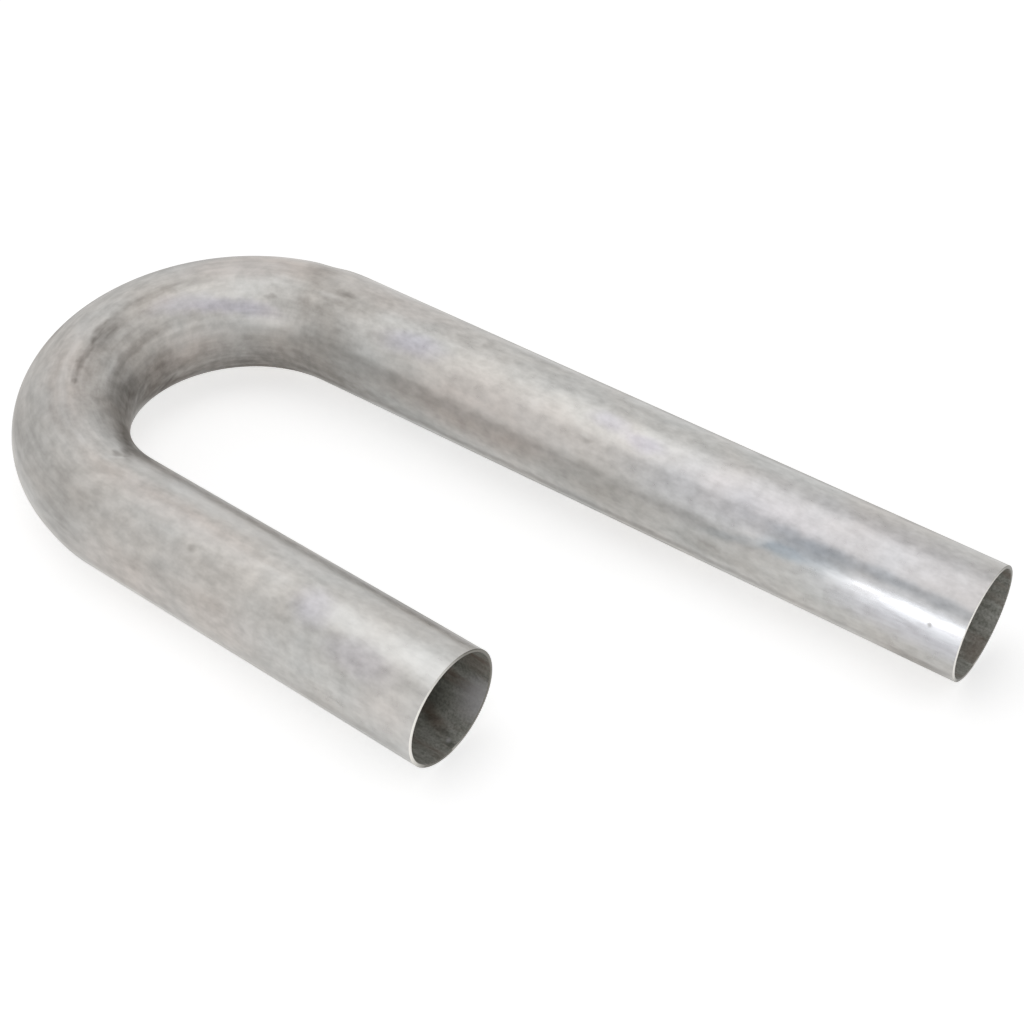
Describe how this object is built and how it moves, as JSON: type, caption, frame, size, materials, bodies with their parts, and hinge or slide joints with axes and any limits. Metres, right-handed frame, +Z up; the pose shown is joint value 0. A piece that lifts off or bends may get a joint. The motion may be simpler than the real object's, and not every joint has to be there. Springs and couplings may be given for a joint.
{
  "type": "mandrel bend",
  "caption": "Thin-walled round steel tube bent almost back on itself into a J, with a long leg, a short leg and plain sawn ends.",
  "frame": {"origin": "under the middle of the tube's outline, level with the ground it lies on", "axes": "+X along the long leg towards its sawn end, +Y from the short leg towards the long leg, +Z up, square to the plane of the bend"},
  "size_m": [0.4651, 0.2313, 0.0571],
  "materials": {
    "tube_steel": "satin, as drawn"
  },
  "bodies": {
    "root": {"bent_tube": "tube_steel"}
  },
  "joints": []
}
